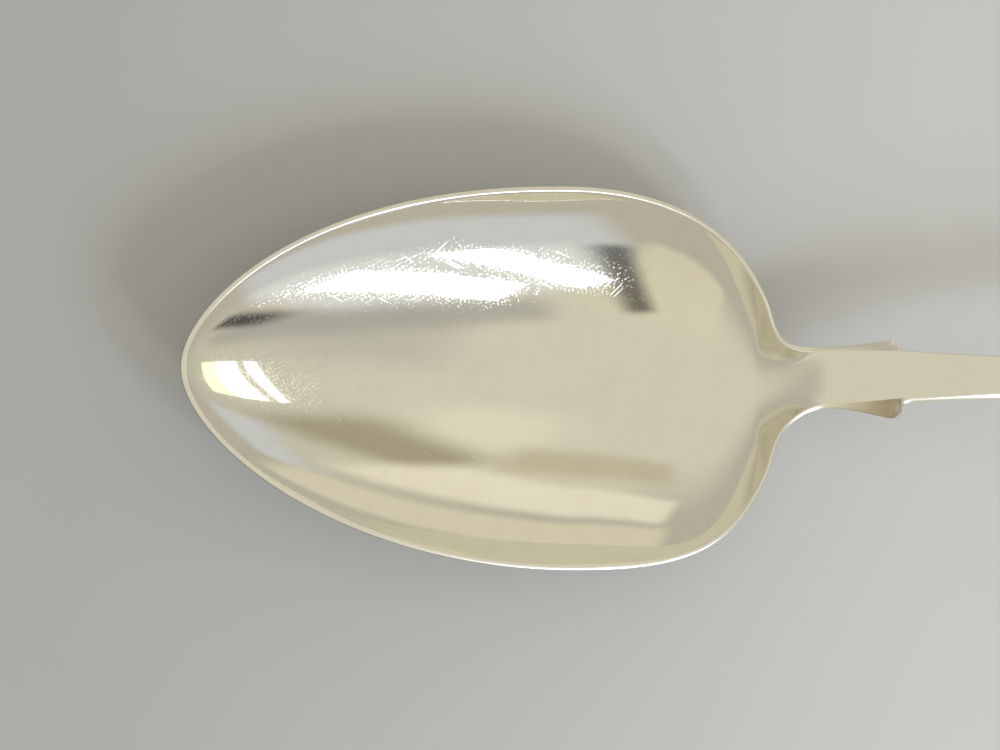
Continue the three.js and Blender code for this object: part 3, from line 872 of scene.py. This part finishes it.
class SPOON_OT_stem(bpy.types.Operator):
    """Builds the stem: a forged bar with shoulders and a fiddle end"""

    bl_idname = "spoon.stem"
    bl_label = "Stem"

    FACE = 24
    BACK = 40
    SPACING = 0.0004
    LAP_STEP = 1e-5
    # The least width of the face, as a share of the body's
    LEAST_FACE = 0.6
    # How much the shoulders move the break in the bevel
    SHOULDER_BREAK = 0.27
    BURR_LENGTH = 0.0007
    BURR_WIDTH = 0.0008
    BURR_BESIDE_WAIST = 0.0009
    BURR_LOWEST = -0.0015
    BURR_WEAR = 1.5
    # Ripples on the burr: their share of its height, and their turns along and across in radians a metre
    RIPPLE = 0.35
    RIPPLE_ALONG = 9000
    RIPPLE_ACROSS = 4000

    def execute(self, context):
        form = SpoonForm(context.scene)
        lap = form.drop.lap
        loops = []
        lapped = True
        for x, half, _ in form.stem_outline.stations(self.SPACING):
            if lapped and x > lap:
                lap_half = float(form.stem_outline.at(lap))
                loops.append(self.loop(form, lap, lap_half, True))
                loops.append(self.loop(form, lap + self.LAP_STEP, lap_half, False))
                lapped = False
            loops.append(self.loop(form, x, half, lapped))
        piece = loft("stem_silver_bar", loops, "start")
        look = context.scene.spoon_silver
        piece.data.materials.append(silver("stem_silver", look.stem, look, wear=0.8))
        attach(piece, BODY)
        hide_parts("stem")
        return {"FINISHED"}

    def loop(self, form, x, half, lapped):
        """Points round the stem: over the face, down one bevel, round the back, up the other bevel

        Each is first a side, a height over the face line, and how far it moves with the face: 1 on the
        face, 0 below the bevels and a share on them.
        """
        stem = form.stem
        body = min(float(form.body.at(x)), half)
        face_half = max(body - eased(form.bevel_width_stops, x), body * self.LEAST_FACE)
        width = max(half - face_half, TINY)
        flare = min(max((half - body) / form.full_flare, 0.0), 1.0)
        fall = eased(form.bevel_stops, x) * (1 - flare) + stem.shoulder_fall * flare
        crown = eased(form.crown_stops, x)
        back_edge = eased(form.back_edge_stops, x)
        bottom = back_edge if lapped else eased(form.thickness_stops, x)
        bevel_break = form.BEVEL_BREAK + self.SHOULDER_BREAK * flare
        points = form.edge_points(width, fall, back_edge, bevel_break, 0.0, 0.0)[1:-1]
        right = [(half - inset, -depth, min(inset / width, 1.0)) for inset, depth in points]
        left = [(-side, depth, hold) for side, depth, hold in right][::-1]
        top_half = face_half - form.worn_corner(width)
        top = []
        for column in range(self.FACE + 1):
            share = 1 - 2 * column / self.FACE
            top.append((-share * top_half, crown * (1 - share * share), 1.0))
        back = []
        for side, depth in half_oval(self.BACK, stem.back_squareness):
            back.append((side * body, -back_edge - (bottom - back_edge) * depth, 0.0))
        face = float(form.face.at(x))
        face_shift = eased(form.line_stops, x) * min(half / (stem.waist_width / 2), 1.0)
        edge_shift = -stem.shoulder_off_line * flare
        placed = []
        for side, depth, hold in (*top, *right, *back, *left):
            side += edge_shift + (face_shift - edge_shift) * hold
            bevel_flare = flare if 0 < hold < 1 else None
            placed.append(self.worn_point(stem, x, side, face, depth, bevel_flare))
        return placed

    def worn_point(self, stem, x, side, face, depth, bevel_flare):
        """A point of the surface, how worn its edge is and how much painted dark reflection it carries; off a
        bevel there is no flare
        """
        burr = self.burr(stem, x, side, depth)
        ripple = 1 + self.RIPPLE * math.sin(self.RIPPLE_ALONG * x + self.RIPPLE_ACROSS * side)
        height = face + depth + hand_made(x, side) + stem.burr * burr * ripple
        on_bevel = bevel_flare is not None
        edge = min((1 - bevel_flare if on_bevel else 0.0) + self.BURR_WEAR * burr, 1.0)
        # Painted dark reflection: the bevel on the -Y side takes the tarnish colour, most where the shoulder
        # flares and not on the burr
        painted_dark_reflection = bevel_flare**0.5 * (1 - burr) if on_bevel and side < 0 else 0.0
        return x, side, max(height, 0.0), edge, painted_dark_reflection

    def burr(self, stem, x, side, depth):
        """How much of the burr stands here; it was left at the end of one shoulder"""
        along = (x - stem.shoulder) / self.BURR_LENGTH
        across = (side + stem.waist_width / 2 + self.BURR_BESIDE_WAIST) / self.BURR_WIDTH
        return math.exp(-along * along - across * across) if depth > self.BURR_LOWEST else 0.0


class SPOON_OT_drop(bpy.types.Operator):
    """Builds the drop: the tongue that laps under the heel and the stem"""

    bl_idname = "spoon.drop"
    bl_label = "Drop"

    TOP = 16
    BACK = 40
    SPACING = 0.0004
    # How far the tongue is let into the bowl's back
    LET_IN = 0.00008

    def execute(self, context):
        form = SpoonForm(context.scene)
        stem, drop = form.stem, form.drop
        side = point(drop.start + drop.round_length, drop.width / 2)
        outline = Chain(
            round_out(point(drop.start, 0.0), side, stem.fiddle_roundness),
            level(side, drop.round_length / 2, drop.round_length / 2, form.neck),
            form.neck_body,
        )
        loops = [self.loop(form, x, half) for x, half, _ in outline.stations(self.SPACING) if x < drop.lap]
        loops.append(self.loop(form, drop.lap, float(form.body.at(drop.lap))))
        piece = loft("drop_silver_tongue", loops, "end")
        look = context.scene.spoon_silver
        piece.data.materials.append(silver("back_silver", look.back, look, wear=1.3))
        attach(piece, BODY)
        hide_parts("drop")
        return {"FINISHED"}

    def loop(self, form, x, half):
        """Points round the tongue: its seat from side to side, and then round its back"""
        stem, drop = form.stem, form.drop
        on_bowl = x < stem.neck
        face = float(form.face.at(x))

        def seat(side):
            return float(form.outside(x, side)) if on_bowl else face - drop.lap_depth

        rise = eased([(drop.start, drop.rise), (stem.neck, stem.thickness_neck - drop.lap_depth)], x)
        keel = float(form.keel_out.at(x)) - rise
        bottom = keel if on_bowl else face - eased(form.thickness_stops, x)
        edge_thickness = eased([(drop.start, drop.edge), (stem.neck, 0.0)], x)
        let_in = self.LET_IN if on_bowl else 0.0
        top = []
        for column in range(1, self.TOP):
            side = half * (2 * column / self.TOP - 1)
            top.append((x, side, seat(side) + let_in))
        back = []
        for share, depth in half_oval(self.BACK, stem.back_squareness):
            edge = seat(share * half) - edge_thickness
            back.append((x, share * half, edge + (bottom - edge) * depth))
        return [*top, *back]


# Stage

class SPOON_OT_stage(bpy.types.Operator):
    """Sets the floor, the lights, the world and the camera"""

    bl_idname = "spoon.stage"
    bl_label = "Stage"

    CAMERA = (-0.0860, -0.0161, 0.3413)
    LOOKS_AT = (-0.0095, -0.0001, 0.0104)
    SENSOR_MM = 36.0
    CLIP_START = 0.01
    FLOOR_SIZE = 6.0
    # Between these places the floor's colour runs from its far grey to its near one: painted light and shade,
    # darker beyond the tip and lighter on the handle's side
    FLOOR_PAINTED_LIGHT_FROM = -0.06
    FLOOR_PAINTED_LIGHT_TO = 0.05
    FLOOR_ROUGHNESS = 0.85
    FLOOR_SPECULAR = 0.2
    FLOOR_GRAIN = 2600.0
    FLOOR_GRAIN_STRENGTH = 0.25
    FLOOR_GRAIN_DEPTH = 2e-5
    LAMP_DISTANCE = 0.55
    DOME_RADIUS = 2.5
    DOME_COLUMNS = 900
    DOME_ROWS = 226
    # Height in the dome at which the light from the sides starts to give way, and how far it takes
    SIDES_UP_TO = 0.35
    SIDES_FADE = 0.45
    # A direction has to point at least this far along a way to meet its cards
    LEAST_DEPTH = 0.05
    # Ways that the soft boxes and the cards lie, seen from the bowl: azimuth and elevation
    WAYS = {"front": (-60, 38), "end": (5, 45), "far": (75, 30), "near": (-115, 40)}
    # Soft boxes: name, way, place across and up, width and height, roll, brightness, colour
    LAMPS = (
        ("soft_box_low", "front", -0.148, 0.085, 0.17, 0.31, -39, 10.0, (0.91, 0.98, 1.12)),
        ("soft_box_high", "front", 0.1, 0.01, 0.11, 0.4, -22, 10.0, (0.91, 0.97, 1.12)),
        ("soft_box_end_left", "end", -0.062, -0.075, 0.236, 0.055, 0, 0.85, (0.72, 1.0, 0.56)),
        ("soft_box_end_middle", "end", -0.062, -0.02, 0.236, 0.05, 0, 1.2, (0.97, 1.0, 0.95)),
        ("soft_box_end_right", "end", -0.062, 0.024, 0.236, 0.014, 0, 2.0, (1.0, 1.0, 1.0)),
    )
    TINTS = {
        "pale": (0.80, 0.82, 0.82),
        "silver_grey": (0.62, 0.65, 0.68),
        "cream": (0.86, 0.81, 0.67),
        "straw": (0.73, 0.68, 0.53),
        "sand": (0.52, 0.46, 0.32),
        "grey": (0.42, 0.42, 0.40),
        "olive": (0.34, 0.30, 0.20),
        "black": (0.05, 0.05, 0.05),
    }
    # Plain cards: way, place across and up, half width and half height, roll, soft edge, share, tint
    CARDS = (
        # Along the spoon's far side
        ("far", 0.25, 0.12, 0.28, 0.22, 0, 0.3, 0.7, "straw"),
        ("far", 0.4, 0.62, 0.22, 0.22, 0, 0.3, 0.6, "cream"),
        ("far", 0.02, 0.36, 0.24, 0.12, 0, 0.16, 0.7, "sand"),
        ("far", 0.12, 0.0, 0.34, 0.14, 20, 0.1, 0.9, "cream"),
        ("far", 0.2, -0.36, 0.36, 0.14, 14, 0.1, 0.9, "straw"),
        # Beyond the handle's end
        ("end", -0.58, -0.29, 0.28, 0.08, 22, 0.1, 0.85, "silver_grey"),
        ("end", -0.45, 0.04, 0.2, 0.12, -14, 0.16, 0.8, "olive"),
        ("end", 0.3, 0.14, 0.22, 0.13, 0, 0.24, 0.5, "grey"),
        # Round the soft boxes in front
        ("front", -0.02, -0.3, 0.4, 0.26, 0, 0.14, 0.9, "silver_grey"),
        ("front", -0.06, 0.0, 0.36, 0.22, 0, 0.14, 0.8, "pale"),
        ("front", -0.4, 0.27, 0.4, 0.1, 14, 0.16, 0.8, "grey"),
        # Along the near side
        ("near", -0.15, 0.12, 0.33, 0.4, 0, 0.14, 0.8, "straw"),
        # Two black flags beside the soft boxes
        ("front", -0.56, 0.06, 0.07, 0.11, -20, 0.1, 0.9, "black"),
        ("front", 0.29, 0.16, 0.06, 0.36, 8, 0.1, 0.8, "black"),
    )

    def execute(self, context):
        look = context.scene.spoon_studio
        self.floor(context, look)
        self.camera(context, look)
        self.lamps(context)
        self.dome(context, look)
        self.world(context, look)
        context.scene.view_settings.view_transform = "Standard"
        return {"FINISHED"}

    def floor(self, context, look):
        bpy.ops.mesh.primitive_plane_add(size=self.FLOOR_SIZE, location=(0.0, 0.0, 0.0))
        floor = context.object
        floor.name = "floor"
        material = bpy.data.materials.new("floor_grey")
        tree = nodes_of(material)
        shader = principled(tree)
        shader.inputs["Roughness"].default_value = self.FLOOR_ROUGHNESS
        shader.inputs["Specular IOR Level"].default_value = self.FLOOR_SPECULAR
        place = place_on(tree)
        # Painted light and shade: the floor's colour grows lighter along X towards the handle's side
        near = above(tree, x_of(tree, place), self.FLOOR_PAINTED_LIGHT_FROM, self.FLOOR_PAINTED_LIGHT_TO)
        tree.links.new(mixed(tree, near, look.floor_painted_shade, look.floor), shader.inputs["Base Color"])
        grain = noise(tree, place, self.FLOOR_GRAIN, 2.0)
        bumped(tree, shader, grain, self.FLOOR_GRAIN_STRENGTH, self.FLOOR_GRAIN_DEPTH)
        floor.data.materials.append(material)

    def camera(self, context, look):
        camera = bpy.data.objects.new("camera", bpy.data.cameras.new("camera"))
        context.scene.collection.objects.link(camera)
        camera.data.lens = look.lens
        camera.data.sensor_width = self.SENSOR_MM
        camera.data.clip_start = self.CLIP_START
        place = Vector(self.CAMERA)
        back = (place - Vector(self.LOOKS_AT)).normalized()
        up = Vector((0, 1, 0))
        up = (up - up.dot(back) * back).normalized()
        right = up.cross(back)
        turn = Matrix((right, up, back)).transposed().to_4x4()
        camera.matrix_world = Matrix.Translation(place) @ turn
        context.scene.camera = camera

    def facing(self, way):
        """Three directions seen from the bowl: ahead, across to the right, and up"""
        turn, rise = (math.radians(degrees) for degrees in self.WAYS[way])
        ahead = Vector((math.cos(rise) * math.cos(turn), math.cos(rise) * math.sin(turn), math.sin(rise)))
        across = Vector((math.sin(turn), -math.cos(turn), 0.0))
        return ahead, across, across.cross(ahead)

    def lamps(self, context):
        for name, way, across, up, width, height, roll, brightness, tint in self.LAMPS:
            ahead, side, rise = self.facing(way)
            size = self.LAMP_DISTANCE * width, self.LAMP_DISTANCE * height
            data = bpy.data.lights.new(name, "AREA")
            data.shape = "RECTANGLE"
            data.size, data.size_y = size
            data.energy = brightness * math.pi * size[0] * size[1]
            data.color = tint
            lamp = bpy.data.objects.new(name, data)
            context.scene.collection.objects.link(lamp)
            place = (ahead + across * side + up * rise) * self.LAMP_DISTANCE
            turn = Matrix((side, rise, -ahead)).transposed().to_4x4()
            roll = Matrix.Rotation(math.radians(roll), 4, "Z")
            lamp.matrix_world = Matrix.Translation(place) @ turn @ roll @ Matrix.Rotation(math.pi, 4, "Y")
            lamp.visible_camera = False

    def dome(self, context, look):
        """A half sphere over the spoon that carries the light of the plain studio and its cards"""
        turns = np.linspace(0.0, 2 * math.pi, self.DOME_COLUMNS, endpoint=False)
        rises = np.linspace(0.0, math.pi / 2, self.DOME_ROWS)
        turn, rise = np.meshgrid(turns, rises)
        directions = [np.cos(rise) * np.cos(turn), np.cos(rise) * np.sin(turn), np.sin(rise)]
        directions = np.stack(directions, axis=-1).reshape(-1, 3)
        corners = np.arange(len(directions)).reshape(turn.shape)
        following = np.roll(corners, -1, axis=1)
        faces = np.stack([corners[:-1], following[:-1], following[1:], corners[1:]], axis=-1)
        mesh = bpy.data.meshes.new("dome")
        mesh.from_pydata((directions * self.DOME_RADIUS).tolist(), [], faces.reshape(-1, 4).tolist())
        colours = np.ones((len(directions), 4))
        colours[:, :3] = self.light_from(directions, look)
        light = mesh.color_attributes.new(name="light", type="FLOAT_COLOR", domain="POINT")
        light.data.foreach_set("color", colours.ravel())
        mesh.materials.append(self.glow())
        dome = bpy.data.objects.new("dome", mesh)
        context.scene.collection.objects.link(dome)
        dome.visible_camera = False

    def glow(self):
        """A material that gives off the light that the dome's mesh carries"""
        material = bpy.data.materials.new("dome_light")
        tree = nodes_of(material)
        emission = add(tree, "ShaderNodeEmission")
        output = add(tree, "ShaderNodeOutputMaterial")
        tree.links.new(attribute(tree, "light").outputs["Color"], emission.inputs["Color"])
        tree.links.new(emission.outputs["Emission"], output.inputs["Surface"])
        material.cycles.emission_sampling = "NONE"
        return material

    def light_from(self, directions, look):
        """Light from each direction: from the sides and from overhead, with the cards laid over it"""
        height = np.clip((directions[:, 2:] - self.SIDES_UP_TO) / self.SIDES_FADE, 0.0, 1.0)
        light = np.array(look.sides) * (1 - height) + np.array(look.overhead) * height
        for way, across, up, half_width, half_height, roll, soft, share, tint in self.CARDS:
            ahead, right, top = (np.array(axis) for axis in self.facing(way))
            depth = directions @ ahead
            reach = np.maximum(depth, self.LEAST_DEPTH)
            x = directions @ right / reach - across
            y = directions @ top / reach - up
            turn = math.radians(roll)
            inside = (depth > self.LEAST_DEPTH) * share
            inside = inside * self.within(x * math.cos(turn) + y * math.sin(turn), half_width, soft)
            inside = inside * self.within(y * math.cos(turn) - x * math.sin(turn), half_height, soft)
            light += (np.array(self.TINTS[tint]) - light) * inside[:, None]
        return light

    def within(self, place, half, soft):
        """1 inside a card's edges and 0 outside, with a soft edge between"""
        return 1 - smooth(np.clip((np.abs(place) - half) / soft + 0.5, 0.0, 1.0))

    def world(self, context, look):
        world = bpy.data.worlds.new("studio")
        context.scene.world = world
        tree = nodes_of(world)
        background = add(tree, "ShaderNodeBackground")
        background.inputs["Color"].default_value = (*look.sides, 1.0)
        output = add(tree, "ShaderNodeOutputWorld")
        tree.links.new(background.outputs["Background"], output.inputs["Surface"])


# Panel and registration

class SPOON_PT_panel(bpy.types.Panel):
    """Lists the spoon's pieces and sizes"""

    bl_idname = "SPOON_PT_panel"
    bl_label = "Silver Tablespoon"
    bl_space_type = "VIEW_3D"
    bl_region_type = "UI"
    bl_category = "Spoon"

    def draw(self, context):
        for operator in OPERATORS:
            self.layout.operator(operator.bl_idname)
        for name, group in GROUPS.items():
            box = self.layout.box()
            box.label(text=group.__doc__)
            for field in group.__annotations__:
                box.prop(getattr(context.scene, name), field)


OPERATORS = (SPOON_OT_bowl, SPOON_OT_stem, SPOON_OT_drop, SPOON_OT_stage)
GROUPS = {
    "spoon_bowl": BowlSizes,
    "spoon_stem": StemSizes,
    "spoon_drop": DropSizes,
    "spoon_silver": SilverLook,
    "spoon_studio": StudioLook,
}


def register():
    for group in (*GROUPS.values(), *OPERATORS, SPOON_PT_panel):
        bpy.utils.register_class(group)
    for name, group in GROUPS.items():
        setattr(bpy.types.Scene, name, bpy.props.PointerProperty(type=group))


def unregister():
    for name in GROUPS:
        delattr(bpy.types.Scene, name)
    for group in (SPOON_PT_panel, *OPERATORS, *GROUPS.values()):
        bpy.utils.unregister_class(group)


def main():
    register()
    bpy.ops.spoon.stage()
    bpy.ops.spoon.bowl()
    bpy.ops.spoon.stem()
    bpy.ops.spoon.drop()
    bpy.context.view_layer.update()


if __name__ == "__main__":
    main()
